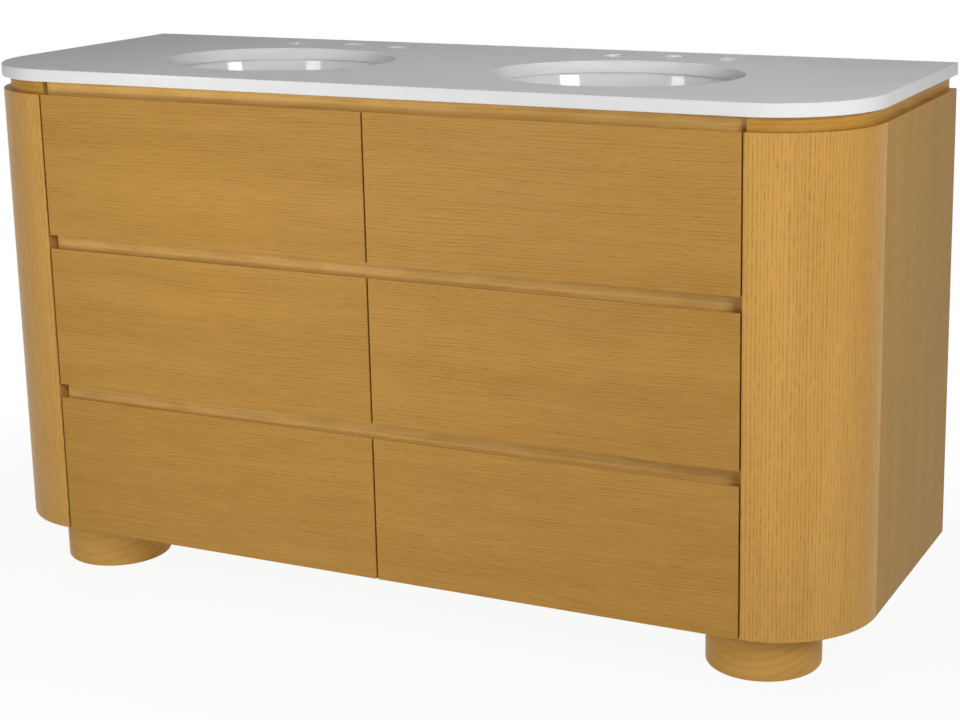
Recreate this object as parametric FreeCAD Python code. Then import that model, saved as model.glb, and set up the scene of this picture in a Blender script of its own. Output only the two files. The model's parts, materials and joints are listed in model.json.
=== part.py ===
"""Double bathroom vanity: a six-drawer oak cabinet on drum feet under a quartz top with two oval bowls.

Millimetres. X runs to the right, -Y to the front and +Z up, with the origin on the floor at the middle
of the plan.
"""
import FreeCAD, Part
import math
import os

V = FreeCAD.Vector

# Overall size
WIDTH = 1524.0
DEPTH = 559.0
HEIGHT = 864.0

# Stone top
SLAB_T = 20.0
SLAB_OVERHANG = 1.0
SLAB_EASE = 1.5

# Feet: turned drums on thin glide pads, each with a tenon that is glued into the floor panel
FOOT_H = 82.0
FOOT_D = 176.0
FOOT_EASE = 5.0
FOOT_SIDE_INSET = 163.0
FOOT_FRONT_INSET = 126.0
FOOT_BACK_INSET = 126.0
TENON_D = 40.0
TENON_FIT = 0.2
PAD_D = 140.0
PAD_T = 4.0
PAD_PROUD = 1.5

# Bent end panels, which turn the front corners as quarter rounds and narrow to a neck under the top
PANEL_T = 20.0
CORNER_R = 160.0
NECK_SETBACK = 12.0
REVEAL_H = 21.0
PANEL_FIT = 0.3

# Drawer fronts: three rows of two, with finger channels between the rows
FRONT_T = 20.0
FRONT_GAP = 3.0
CHANNEL_GAP = 22.5
LIP_T = 3.0
LIP_BEVEL_DROP = 15.0
FRONT_EASE = 1.0

# Fixed rails that back the finger channels and the reveal
RAIL_SETBACK = 24.0
RAIL_T = 18.0
RAIL_H = 40.0

# Carcass boards
BOARD_T = 18.0
FLOOR_T = 18.0
BACK_T = 16.0
BACK_TOP_H = 100.0
BACK_FOOT_H = 120.0
RIB_T = 18.0
RIB_REACH = 40.0
WALL_HOLE_D = 8.0
WALL_HOLE_SPACING = 1000.0
WALL_HOLE_DROP = 50.0

# Drawer boxes
BOX_T = 13.0
BOX_UNDER = 12.0
BOX_OVER = 12.0
BOX_BACK_SPACE = 62.0
BOTTOM_T = 8.0
BOTTOM_RISE = 10.0
GROOVE = 6.0
BOWL_CLEAR = 8.0
NOTCH_W = 150.0
NOTCH_AHEAD = 80.0

# Side runners: a lipped steel channel on the carcass and a T bar on the drawer
RUNNER_SPACE = 13.0
RUNNER_H = 45.0
RUNNER_DEPTH = 10.0
RUNNER_WALL = 1.5
RUNNER_LIP = 10.0
RUNNER_RISE = 36.0
RUNNER_CLEAR = 0.4
RUNNER_FRONT_SPACE = 4.0
RUNNER_BACK_SPACE = 6.0
NECK_BAR_CLEAR = 2.0

# Undermount bowls
SINK_L = 402.0
SINK_TO_TAPS = 58.0
SINK_TO_RAIL = 19.0
BOWL_REVEAL = 3.0
BOWL_DEPTH = 135.0
BOWL_WALL = 10.0
BOWL_WALL_SLOPE = 26.0
BOWL_TURN_R = 82.0
BOWL_TURN_STEPS = 6
BOWL_DISH = 7.0
FLANGE_W = 28.0
FLANGE_T = 12.0
DRAIN_D = 45.0
DRAIN_SEAT_D = 100.0
DRAIN_BOSS_D = 68.0
DRAIN_BOSS_H = 6.0

# Clips that hold the bowls up under the top
CLIP_W = 24.0
CLIP_T = 2.0
CLIP_REACH = 12.0
CLIP_LEAF = 20.0
CLIP_CLEAR = 2.0
CLIP_ANGLES = (42.0, 138.0, 222.0, 318.0)

# Tap holes behind each bowl
TAP_HOLE_D = 35.0
TAP_SPREAD = 203.2
TAP_BACK_INSET = 80.0
SPOUT_SETBACK = 20.0

# Levels from the floor up
slab_z = HEIGHT - SLAB_T
fronts_top = slab_z - REVEAL_H
floor_top = FOOT_H + FLOOR_T
front_h = (fronts_top - FOOT_H - 2 * CHANNEL_GAP) / 3
row_pitch = front_h + CHANNEL_GAP
lower_rail_z = FOOT_H + front_h + CHANNEL_GAP / 2 - RAIL_H / 2
upper_rail_z = lower_rail_z + row_pitch
top_rail_z = slab_z - RAIL_H

# Plan lines
slab_half = WIDTH / 2
body_half = slab_half - SLAB_OVERHANG
back_y = DEPTH / 2
face_y = -DEPTH / 2 + SLAB_OVERHANG
front_half = body_half - CORNER_R
inner_half = body_half - PANEL_T
side_x = front_half + FRONT_GAP
side_out_x = side_x + BOARD_T
rail_y = face_y + RAIL_SETBACK
carcass_y = rail_y + RAIL_T
back_board_y = back_y - BACK_T
front_back_y = face_y + FRONT_T
box_back_y = back_board_y - BOX_BACK_SPACE

# One column of drawers, to the right of the middle
column_in_x = BOARD_T / 2
column_mid_x = (column_in_x + side_x) / 2
box_in_x = column_in_x + RUNNER_SPACE
box_out_x = side_x - RUNNER_SPACE

# Bowl and tap lines
tap_y = back_y - TAP_BACK_INSET
sink_back_y = tap_y - SINK_TO_TAPS
sink_front_y = carcass_y + SINK_TO_RAIL + FLANGE_W + BOWL_REVEAL
sink_w = sink_back_y - sink_front_y
sink_y = (sink_front_y + sink_back_y) / 2
bowl_low_z = slab_z - BOWL_DEPTH - BOWL_WALL - DRAIN_BOSS_H
COLUMNS = {"left": -1, "right": 1}


def box(x0, x1, y0, y1, z0, z1):
    """A block between two corners."""
    return Part.makeBox(x1 - x0, y1 - y0, z1 - z0, V(x0, y0, z0))


def prism(points, direction):
    """A straight-sided outline pushed along a direction."""
    outline = Part.makePolygon(points + points[:1])
    return Part.Face(outline).extrude(direction)


def mirrored(shape):
    """The same shape on the other side of the middle."""
    return shape.mirror(V(0, 0, 0), V(1, 0, 0))


def on_side(shape, sign):
    """A right-hand shape, kept or mirrored."""
    return shape if sign > 0 else mirrored(shape)


def rounded_plan(half, front, back, radius, z0, z1):
    """A plate with round front corners and square back corners."""
    turn = radius * (1 - math.sqrt(0.5))
    left, right = -half, half
    edges = [
        Part.makeLine(V(left, back, z0), V(left, front + radius, z0)),
        Part.Arc(
            V(left, front + radius, z0), V(left + turn, front + turn, z0), V(left + radius, front, z0)
        ).toShape(),
        Part.makeLine(V(left + radius, front, z0), V(right - radius, front, z0)),
        Part.Arc(
            V(right - radius, front, z0), V(right - turn, front + turn, z0), V(right, front + radius, z0)
        ).toShape(),
        Part.makeLine(V(right, front + radius, z0), V(right, back, z0)),
        Part.makeLine(V(right, back, z0), V(left, back, z0)),
    ]
    return Part.Face(Part.Wire(edges)).extrude(V(0, 0, z1 - z0))


def body_plan(inset, z0, z1, front_cut=None):
    """The cabinet's plan drawn in by an inset, with an optional straight cut across the front."""
    plate = rounded_plan(
        body_half - inset, face_y + inset, back_y, CORNER_R - inset, z0, z1
    )
    if front_cut is None:
        return plate
    return plate.common(box(-slab_half, slab_half, front_cut, back_y, z0, z1))


def elliptic_cylinder(x, y, half_l, half_w, z0, z1):
    """A straight oval plug."""
    curve = Part.Ellipse(V(x, y, z0), half_l, half_w)
    return Part.Face(Part.Wire([curve.toShape()])).extrude(V(0, 0, z1 - z0))


def countertop():
    """The stone slab with its oval cut-outs, tap holes and eased outer arrises."""
    slab = rounded_plan(
        slab_half, face_y - SLAB_OVERHANG, back_y, CORNER_R + SLAB_OVERHANG, slab_z, HEIGHT
    )
    rim = [e for e in slab.Edges if e.BoundBox.ZLength < SLAB_EASE and e.BoundBox.YMin < back_y - 1]
    slab = slab.makeChamfer(SLAB_EASE, rim)
    for sign in COLUMNS.values():
        middle = sign * column_mid_x
        slab = slab.cut(elliptic_cylinder(middle, sink_y, SINK_L / 2, sink_w / 2, slab_z, HEIGHT))
        for offset, setback in ((-TAP_SPREAD / 2, 0), (0, SPOUT_SETBACK), (TAP_SPREAD / 2, 0)):
            place = V(middle + offset, tap_y + setback, slab_z)
            slab = slab.cut(Part.makeCylinder(TAP_HOLE_D / 2, SLAB_T, place))
    return slab


def bowl_sections(inset, depth):
    """Half lengths and levels down a bowl, from its rim at level 0: wall, turn, dish and drain seat."""
    rim_r = SINK_L / 2 + BOWL_REVEAL + inset
    turn_r = BOWL_TURN_R + inset
    lean = math.atan2(BOWL_WALL_SLOPE, BOWL_DEPTH)
    turn_z = BOWL_DISH + turn_r - depth
    wall_end_z = turn_z - turn_r * math.sin(lean)
    turn_x = rim_r + wall_end_z * math.tan(lean) - turn_r * math.cos(lean)
    yield rim_r, 0
    for step in range(BOWL_TURN_STEPS + 1):
        angle = lean + (math.pi / 2 - lean) * step / BOWL_TURN_STEPS
        yield turn_x + turn_r * math.cos(angle), turn_z - turn_r * math.sin(angle)
    yield DRAIN_SEAT_D / 2, -depth


def bowl_form(inset, depth):
    """A solid oval form lofted down the bowl's sections."""
    roundness = (sink_w / 2 + BOWL_REVEAL + inset) / (SINK_L / 2 + BOWL_REVEAL + inset)
    ovals = [
        Part.Wire([Part.Ellipse(V(0, 0, level), half, half * roundness).toShape()])
        for half, level in bowl_sections(inset, depth)
    ]
    return Part.makeLoft(ovals, True, True)


def sink(sign):
    """A glazed oval bowl with a flat flange and a drain boss."""
    flange_l = SINK_L / 2 + BOWL_REVEAL + FLANGE_W
    flange_w = sink_w / 2 + BOWL_REVEAL + FLANGE_W
    boss_z = bowl_low_z - slab_z
    bowl = bowl_form(BOWL_WALL, BOWL_DEPTH + BOWL_WALL)
    bowl = bowl.fuse(elliptic_cylinder(0, 0, flange_l, flange_w, -FLANGE_T, 0))
    bowl = bowl.fuse(Part.makeCylinder(DRAIN_BOSS_D / 2, DRAIN_BOSS_H + BOWL_WALL / 2, V(0, 0, boss_z)))
    bowl = bowl.cut(bowl_form(0, BOWL_DEPTH))
    bowl = bowl.cut(Part.makeCylinder(DRAIN_D / 2, BOWL_DEPTH + BOWL_WALL, V(0, 0, boss_z)))
    bowl.translate(V(sign * column_mid_x, sink_y, slab_z))
    return bowl


def sink_clips(sign):
    """Cranked steel clips round the flange, screwed to the underside of the top."""
    half_l = SINK_L / 2 + BOWL_REVEAL + FLANGE_W
    half_w = sink_w / 2 + BOWL_REVEAL + FLANGE_W
    low = -FLANGE_T - CLIP_T
    profile = [
        V(-CLIP_REACH, 0, low),
        V(CLIP_CLEAR + CLIP_T, 0, low),
        V(CLIP_CLEAR + CLIP_T, 0, -CLIP_T),
        V(CLIP_LEAF, 0, -CLIP_T),
        V(CLIP_LEAF, 0, 0),
        V(CLIP_CLEAR, 0, 0),
        V(CLIP_CLEAR, 0, -FLANGE_T),
        V(-CLIP_REACH, 0, -FLANGE_T),
    ]
    clips = []
    for angle in CLIP_ANGLES:
        turn = math.radians(angle)
        edge = V(half_l * math.cos(turn), half_w * math.sin(turn), 0)
        heading = math.degrees(math.atan2(math.sin(turn) / half_w, math.cos(turn) / half_l))
        clip = prism(profile, V(0, CLIP_W, 0))
        clip.translate(V(0, -CLIP_W / 2, 0))
        clip.rotate(V(0, 0, 0), V(0, 0, 1), heading)
        clip.translate(edge + V(sign * column_mid_x, sink_y, slab_z))
        clips.append(clip)
    return Part.makeCompound(clips)


def end_panel(sign):
    """A bent panel: flat side, quarter-round front corner and a set-back neck under the top."""
    shell = body_plan(0, FOOT_H, slab_z).cut(body_plan(PANEL_T, FOOT_H, slab_z))
    rim = body_plan(0, fronts_top, slab_z).cut(body_plan(NECK_SETBACK, fronts_top, slab_z))
    return on_side(shell.cut(rim).common(box(side_x, slab_half, -DEPTH, DEPTH, 0, HEIGHT)), sign)


def corner_ribs(sign):
    """Formers that hold the bent panel to its curve at the two channel levels."""
    middles = (lower_rail_z + RAIL_H / 2, upper_rail_z + RAIL_H / 2)
    reach_y = face_y + CORNER_R + RIB_REACH
    ribs = []
    for middle in middles:
        z0 = middle - RIB_T / 2
        plate = body_plan(PANEL_T + PANEL_FIT, z0, z0 + RIB_T, rail_y)
        ribs.append(plate.common(box(side_out_x, slab_half, rail_y, reach_y, z0, z0 + RIB_T)))
    return on_side(Part.makeCompound(ribs), sign)


def feet_centres():
    """Node prefix and plan position of each foot."""
    rows = {"front": face_y + FOOT_FRONT_INSET, "rear": back_y - FOOT_BACK_INSET}
    for row, y in rows.items():
        for side, sign in COLUMNS.items():
            yield row + "_" + side, sign * (body_half - FOOT_SIDE_INSET), y


def foot(x, y):
    """A turned drum with an eased lower edge, a pad recess and a tenon on top."""
    low_r = FOOT_D / 2 - FOOT_EASE
    half_section = [
        V(0, 0, PAD_PROUD),
        V(low_r, 0, PAD_PROUD),
        V(FOOT_D / 2, 0, PAD_PROUD + FOOT_EASE),
        V(FOOT_D / 2, 0, FOOT_H),
        V(TENON_D / 2, 0, FOOT_H),
        V(TENON_D / 2, 0, floor_top),
        V(0, 0, floor_top),
    ]
    outline = Part.makePolygon(half_section + half_section[:1])
    drum = Part.Face(outline).revolve(V(0, 0, 0), V(0, 0, 1), 360)
    drum = drum.cut(Part.makeCylinder(PAD_D / 2, PAD_T))
    drum.translate(V(x, y, 0))
    return drum


def floor_panel():
    """The cabinet floor, fitted to the bent panels and bored for the tenons of the feet."""
    panel = body_plan(PANEL_T + PANEL_FIT, FOOT_H, floor_top, rail_y)
    for name, x, y in feet_centres():
        panel = panel.cut(Part.makeCylinder(TENON_D / 2 + TENON_FIT, FLOOR_T, V(x, y, FOOT_H)))
    return panel


def front_rail(z0):
    """A rail across both columns, on the front edges of the uprights."""
    return box(-side_out_x, side_out_x, rail_y, carcass_y, z0, z0 + RAIL_H)


def upper_back_rail():
    """The back rail under the top, with two holes for the wall fixings."""
    reach = inner_half - PANEL_FIT
    rail = box(-reach, reach, back_board_y, back_y, slab_z - BACK_TOP_H, slab_z)
    for sign in COLUMNS.values():
        place = V(sign * WALL_HOLE_SPACING / 2, back_board_y, slab_z - WALL_HOLE_DROP)
        rail = rail.cut(Part.makeCylinder(WALL_HOLE_D / 2, BACK_T, place, V(0, 1, 0)))
    return rail


def back_stile(sign):
    """An upright board that closes the back of the space behind a bent panel."""
    low = floor_top + BACK_FOOT_H
    stile = box(side_x, inner_half - PANEL_FIT, back_board_y, back_y, low, slab_z - BACK_TOP_H)
    return on_side(stile, sign)


def drawer_front(z0, sign):
    """A slab front whose top edge falls away behind a thin lip, so that fingers can hook over it."""
    z1 = z0 + front_h
    profile = [
        V(FRONT_GAP / 2, face_y, z0),
        V(FRONT_GAP / 2, face_y, z1),
        V(FRONT_GAP / 2, face_y + LIP_T, z1),
        V(FRONT_GAP / 2, front_back_y, z1 - LIP_BEVEL_DROP),
        V(FRONT_GAP / 2, front_back_y, z0),
    ]
    slab = prism(profile, V(front_half - FRONT_GAP / 2, 0, 0))
    slab = slab.makeFillet(FRONT_EASE, [e for e in slab.Edges if e.BoundBox.YMax < face_y + FRONT_EASE])
    return on_side(slab, sign)


def box_bottom(z0):
    """The plate of a drawer, let into grooves on three sides."""
    reach = BOX_T - GROOVE
    low = z0 + BOTTOM_RISE
    return box(box_in_x + reach, box_out_x - reach, front_back_y + reach, box_back_y, low, low + BOTTOM_T)


def box_shell(z0, z1, bottom):
    """The two sides and the inner front of a drawer, grooved for its plate."""
    boards = [
        box(box_in_x, box_in_x + BOX_T, front_back_y, box_back_y, z0, z1),
        box(box_out_x - BOX_T, box_out_x, front_back_y, box_back_y, z0, z1),
        box(box_in_x + BOX_T, box_out_x - BOX_T, front_back_y, front_back_y + BOX_T, z0, z1),
    ]
    return [board.cut(bottom) for board in boards]


def deep_box(z0, z1):
    """A full drawer box and its plate."""
    bottom = box_bottom(z0)
    back_y0 = box_back_y - BOX_T
    back = box(box_in_x + BOX_T, box_out_x - BOX_T, back_y0, box_back_y, z0 + BOTTOM_RISE + BOTTOM_T, z1)
    return Part.makeCompound(box_shell(z0, z1, bottom) + [back]), bottom


def notched_box(z0, z1):
    """A drawer box with a notch from the back that leaves room for the waste pipe of the bowl."""
    low = z0 + BOTTOM_RISE + BOTTOM_T
    notch_in = column_mid_x - NOTCH_W / 2
    notch_out = column_mid_x + NOTCH_W / 2
    notch_y = sink_y - NOTCH_AHEAD
    back_y0 = box_back_y - BOX_T
    bottom = box_bottom(z0).cut(box(notch_in, notch_out, notch_y, back_y, z0, z1))
    inner = [
        box(notch_in - BOX_T, notch_in, notch_y - BOX_T, box_back_y, low, z1),
        box(notch_out, notch_out + BOX_T, notch_y - BOX_T, box_back_y, low, z1),
        box(notch_in, notch_out, notch_y - BOX_T, notch_y, low, z1),
        box(box_in_x + BOX_T, notch_in - BOX_T, back_y0, box_back_y, low, z1),
        box(notch_out + BOX_T, box_out_x - BOX_T, back_y0, box_back_y, low, z1),
    ]
    return Part.makeCompound(box_shell(z0, z1, bottom) + inner), bottom


def runner_pair(outline, z_mid):
    """A runner section, drawn outward from the wall it stands on, on both sides of a column."""
    y0 = carcass_y + RUNNER_FRONT_SPACE
    y1 = box_back_y - RUNNER_BACK_SPACE
    inner = prism([V(column_in_x + d, y0, z_mid + h) for d, h in outline], V(0, y1 - y0, 0))
    outer = prism([V(side_x - d, y0, z_mid + h) for d, h in outline], V(0, y1 - y0, 0))
    return Part.makeCompound([inner, outer])


def runner_channel(z_mid):
    """The fixed channel: web, two flanges and inturned lips."""
    half = RUNNER_H / 2
    mouth = half - RUNNER_LIP
    upper = [
        (RUNNER_DEPTH, mouth),
        (RUNNER_DEPTH, half),
        (0, half),
    ]
    inside = [
        (RUNNER_WALL, half - RUNNER_WALL),
        (RUNNER_DEPTH - RUNNER_WALL, half - RUNNER_WALL),
        (RUNNER_DEPTH - RUNNER_WALL, mouth),
    ]
    lower = [(d, -h) for d, h in reversed(upper)]
    inside_lower = [(d, -h) for d, h in reversed(inside)]
    return runner_pair(upper + lower + inside_lower + inside, z_mid)


def runner_bar(z_mid):
    """The sliding bar: a head inside the channel and a neck out to the drawer side."""
    head = RUNNER_H / 2 - RUNNER_WALL - RUNNER_CLEAR
    neck = RUNNER_H / 2 - RUNNER_LIP - NECK_BAR_CLEAR
    head_in = RUNNER_WALL + RUNNER_CLEAR
    head_out = RUNNER_DEPTH - RUNNER_WALL - RUNNER_CLEAR
    upper = [(RUNNER_SPACE, neck), (head_out, neck), (head_out, head), (head_in, head)]
    lower = [(d, -h) for d, h in reversed(upper)]
    return runner_pair(upper + lower, z_mid)


def drawer_levels():
    """Row name, front level, and the lowest and highest level of the box of each row."""
    lower_top = lower_rail_z - BOX_OVER
    middle_top = upper_rail_z - BOX_OVER
    yield "lower", FOOT_H, floor_top + BOX_UNDER, lower_top
    yield "middle", FOOT_H + row_pitch, lower_rail_z + RAIL_H + BOX_UNDER, middle_top
    yield "upper", FOOT_H + 2 * row_pitch, upper_rail_z + RAIL_H + BOX_UNDER, bowl_low_z - BOWL_CLEAR


def drawers():
    """The pieces of all six drawers, with the fixed runner channels that carry them."""
    pieces = {}
    for row, front_z, z0, z1 in drawer_levels():
        boards, bottom = notched_box(z0, z1) if row == "upper" else deep_box(z0, z1)
        z_mid = z0 + RUNNER_RISE
        for side, sign in COLUMNS.items():
            name = row + "_" + side
            pieces[name + "_drawer_front"] = drawer_front(front_z, sign)
            pieces[name + "_drawer_box"] = on_side(boards, sign)
            pieces[name + "_drawer_bottom"] = on_side(bottom, sign)
            pieces[name + "_drawer_runner_bars"] = on_side(runner_bar(z_mid), sign)
            pieces[name + "_runner_channels"] = on_side(runner_channel(z_mid), sign)
    return pieces


def carcass():
    """The fixed boards, rails and panels."""
    reach = inner_half - PANEL_FIT
    pieces = {
        "floor_panel": floor_panel(),
        "centre_divider": box(
            -BOARD_T / 2, BOARD_T / 2, carcass_y, back_board_y, floor_top, slab_z
        ),
        "top_front_rail": front_rail(top_rail_z),
        "upper_channel_rail": front_rail(upper_rail_z),
        "lower_channel_rail": front_rail(lower_rail_z),
        "upper_back_rail": upper_back_rail(),
        "lower_back_rail": box(-reach, reach, back_board_y, back_y, floor_top, floor_top + BACK_FOOT_H),
    }
    upright = box(side_x, side_out_x, carcass_y, back_board_y, floor_top, slab_z)
    for side, sign in COLUMNS.items():
        pieces[side + "_end_panel"] = end_panel(sign)
        pieces[side + "_corner_ribs"] = corner_ribs(sign)
        pieces[side + "_upright"] = on_side(upright, sign)
        pieces[side + "_back_stile"] = back_stile(sign)
    return pieces


def feet():
    """The four drum feet and their glide pads."""
    pieces = {}
    pads = []
    for name, x, y in feet_centres():
        pieces[name + "_foot"] = foot(x, y)
        pads.append(Part.makeCylinder(PAD_D / 2, PAD_T, V(x, y, 0)))
    pieces["foot_pads"] = Part.makeCompound(pads)
    return pieces


def top_and_bowls():
    """The stone top, the two bowls and their clips."""
    pieces = {"countertop": countertop()}
    for side, sign in COLUMNS.items():
        pieces[side + "_sink"] = sink(sign)
        pieces[side + "_sink_clips"] = sink_clips(sign)
    return pieces


os.makedirs("parts", exist_ok=True)
nodes = {**top_and_bowls(), **carcass(), **feet(), **drawers()}
for name, shape in nodes.items():
    shape.exportStep("parts/" + name + ".step")
    size = shape.BoundBox
    print(name, len(shape.Solids), shape.isValid(), round(size.XLength, 1), round(size.YLength, 1),
          round(size.ZLength, 1), round(shape.Volume / 1000, 1))
print(len(nodes), "nodes")
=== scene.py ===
# %% [markdown]
# A double bathroom vanity: a six-drawer oak cabinet on drum feet, with a white stone top and two oval
# bowls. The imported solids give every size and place. Here the pieces that the eye meets first are made
# again with softer edges and smoother curves, and every surface gets its finish. The solids behind them
# are kept, and only get eased edges and a finish.

# %% The frame
import json
import math

import bmesh
import bpy
from mathutils import Matrix, Quaternion, Vector

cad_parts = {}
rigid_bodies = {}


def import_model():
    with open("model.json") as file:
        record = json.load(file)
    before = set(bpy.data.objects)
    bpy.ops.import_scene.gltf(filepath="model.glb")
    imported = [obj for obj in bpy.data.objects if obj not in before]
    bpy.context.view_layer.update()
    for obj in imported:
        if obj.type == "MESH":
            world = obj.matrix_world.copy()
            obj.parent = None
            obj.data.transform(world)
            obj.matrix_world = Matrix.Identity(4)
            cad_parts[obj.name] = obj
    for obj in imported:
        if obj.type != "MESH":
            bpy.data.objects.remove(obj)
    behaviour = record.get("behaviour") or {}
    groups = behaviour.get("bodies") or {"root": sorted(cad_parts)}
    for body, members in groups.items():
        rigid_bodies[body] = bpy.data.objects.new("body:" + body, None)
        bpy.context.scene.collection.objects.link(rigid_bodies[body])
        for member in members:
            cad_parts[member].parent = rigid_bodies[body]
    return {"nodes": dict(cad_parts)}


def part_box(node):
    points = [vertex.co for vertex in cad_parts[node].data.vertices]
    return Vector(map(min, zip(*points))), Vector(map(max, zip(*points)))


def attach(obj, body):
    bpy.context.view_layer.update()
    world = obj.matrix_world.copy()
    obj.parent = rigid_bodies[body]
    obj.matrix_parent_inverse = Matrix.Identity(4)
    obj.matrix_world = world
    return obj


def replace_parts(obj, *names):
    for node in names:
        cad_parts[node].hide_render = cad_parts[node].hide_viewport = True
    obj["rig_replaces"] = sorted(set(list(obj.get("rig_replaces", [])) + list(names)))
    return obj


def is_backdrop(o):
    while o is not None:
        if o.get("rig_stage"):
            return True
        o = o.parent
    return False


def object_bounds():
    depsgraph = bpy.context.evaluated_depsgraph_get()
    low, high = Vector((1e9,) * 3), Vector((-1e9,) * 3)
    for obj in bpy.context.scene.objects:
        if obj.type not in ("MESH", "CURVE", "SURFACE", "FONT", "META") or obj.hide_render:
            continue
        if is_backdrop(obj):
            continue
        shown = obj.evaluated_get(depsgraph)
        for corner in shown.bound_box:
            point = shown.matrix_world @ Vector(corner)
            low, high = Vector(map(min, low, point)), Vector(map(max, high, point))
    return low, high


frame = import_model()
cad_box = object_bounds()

solids = frame["nodes"]

# %% [markdown]
# The sizes that the new pieces share are read from the solids, so that a change in the construction
# reaches the looks as well. A box round a solid is enough: the front corner radius, for one, is how far
# an end panel reaches out past the drawer fronts.

# %% Shared sizes
top_low, top_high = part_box("countertop")
front_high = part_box("upper_right_drawer_front")[1]
panel_low, panel_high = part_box("right_end_panel")
bowl_low, bowl_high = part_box("right_sink")
cabinet_low = panel_low.z
corner_radius = panel_high.x - front_high.x
overhang = top_high.x - panel_high.x
print("corner radius", round(corner_radius, 4), "overhang", round(overhang, 4))

# %% [markdown]
# The camera comes first, because every later step is judged through it. Its place and slight tilt were
# found by fitting the corners of the drawer fronts and of the top to the picture, and the lens is as wide
# as it takes to keep both ends of the top in view. The fit puts the axis of the lens off the middle of
# the picture, so the view is shifted a little instead of turned.

# %% Camera
CAMERA_PLACE = Vector((1.4988, -2.7785, 1.2216))
CAMERA_AIM = Vector((0.3230, -0.2785, 0.5928))
CAMERA_ROLL = math.radians(-0.776)
CAMERA_LENS = 73.32
CAMERA_SHIFT = (-0.0820, -0.0833)
SENSOR_WIDTH = 36


def face_towards(thing, target, roll=0.0):
    """Turns a camera or lamp so that it looks at a point."""
    heading = (target - thing.location).to_track_quat("-Z", "Y")
    thing.rotation_euler = (heading @ Quaternion((0, 0, 1), roll)).to_euler()


lens = bpy.data.cameras.new("camera")
lens.lens = CAMERA_LENS
lens.sensor_width = SENSOR_WIDTH
lens.shift_x, lens.shift_y = CAMERA_SHIFT
camera = bpy.data.objects.new("camera", lens)
camera.location = CAMERA_PLACE
face_towards(camera, CAMERA_AIM, CAMERA_ROLL)
bpy.context.scene.collection.objects.link(camera)
bpy.context.scene.camera = camera
print("camera", tuple(round(v, 3) for v in camera.location))

# %% [markdown]
# A finish is a small tree of nodes. Building it by hand in the editor would be quicker to try but hard to
# read later, so short helpers wrap the repeated work: start a finish, feed a socket with a number or with
# another node, and make the few kinds of node that all the finishes use.

# %% Finish helpers
finishes = {}


def start_finish(name):
    """A new finish with one shader, and the tree to grow it in."""
    finish = bpy.data.materials.new(name)
    finish.use_nodes = True
    tree = finish.node_tree
    tree.nodes.clear()
    shader = tree.nodes.new("ShaderNodeBsdfPrincipled")
    output = tree.nodes.new("ShaderNodeOutputMaterial")
    tree.links.new(shader.outputs["BSDF"], output.inputs["Surface"])
    finishes[name] = finish
    return tree, shader


def feed(tree, socket, value):
    """Sets a socket, or joins it to the output of another node."""
    if isinstance(value, bpy.types.NodeSocket):
        tree.links.new(value, socket)
    else:
        socket.default_value = value


def sums(tree, operation, first, second=0.0, third=0.0):
    """One step of arithmetic."""
    node = tree.nodes.new("ShaderNodeMath")
    node.operation = operation
    for socket, value in zip(node.inputs, (first, second, third)):
        feed(tree, socket, value)
    return node.outputs[0]


def place(tree, x, y, z=0.0):
    """A point put together from three numbers or sockets."""
    node = tree.nodes.new("ShaderNodeCombineXYZ")
    for socket, value in zip(node.inputs, (x, y, z)):
        feed(tree, socket, value)
    return node.outputs[0]


def clouds(tree, point, detail=2.0, roughness=0.5):
    """Soft noise from 0 to 1 with features about one unit across."""
    node = tree.nodes.new("ShaderNodeTexNoise")
    feed(tree, node.inputs["Vector"], point)
    node.inputs["Scale"].default_value = 1.0
    node.inputs["Detail"].default_value = detail
    node.inputs["Roughness"].default_value = roughness
    return node.outputs[0]


def drawn_out(tree, along, across, per_metre, detail=2.0, roughness=0.5):
    """Noise drawn out along the grain, with so many features per metre along it and across it."""
    point = place(
        tree,
        sums(tree, "MULTIPLY", along, per_metre[0]),
        sums(tree, "MULTIPLY", across, per_metre[1]),
    )
    return clouds(tree, point, detail, roughness)


def centred(tree, value):
    """Noise moved to lie on both sides of 0."""
    return sums(tree, "SUBTRACT", value, 0.5)


def step(tree, value, low, high):
    """0 below low, 1 above high and smooth between."""
    node = tree.nodes.new("ShaderNodeMapRange")
    node.interpolation_type = "SMOOTHSTEP"
    feed(tree, node.inputs["Value"], value)
    node.inputs["From Min"].default_value = low
    node.inputs["From Max"].default_value = high
    return node.outputs[0]


def tint(tree, amount, first, second):
    """A colour between two others."""
    node = tree.nodes.new("ShaderNodeMix")
    node.data_type = "RGBA"
    feed(tree, node.inputs[0], amount)
    for socket, value in zip((node.inputs[6], node.inputs[7]), (first, second)):
        feed(tree, socket, (*value, 1.0) if isinstance(value, tuple) else value)
    return node.outputs[2]


def relief(tree, shader, height, depth):
    """Shallow bumps of a given depth in metres."""
    node = tree.nodes.new("ShaderNodeBump")
    node.inputs["Strength"].default_value = 1.0
    node.inputs["Distance"].default_value = depth
    feed(tree, node.inputs["Height"], height)
    tree.links.new(node.outputs[0], shader.inputs["Normal"])


def where(tree):
    """The three coordinates of a point on the piece, in metres in the row's frame."""
    point = tree.nodes.new("ShaderNodeTexCoord").outputs["Object"]
    parts = tree.nodes.new("ShaderNodeSeparateXYZ")
    tree.links.new(point, parts.inputs[0])
    return parts.outputs


def laid_grain(tree):
    """Along and across the grain on a veneered piece, in metres, from the map laid on its mesh."""
    layer = tree.nodes.new("ShaderNodeUVMap")
    layer.uv_map = "grain"
    parts = tree.nodes.new("ShaderNodeSeparateXYZ")
    tree.links.new(layer.outputs[0], parts.inputs[0])
    return parts.outputs[0], parts.outputs[1]


print("helpers ready")

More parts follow.
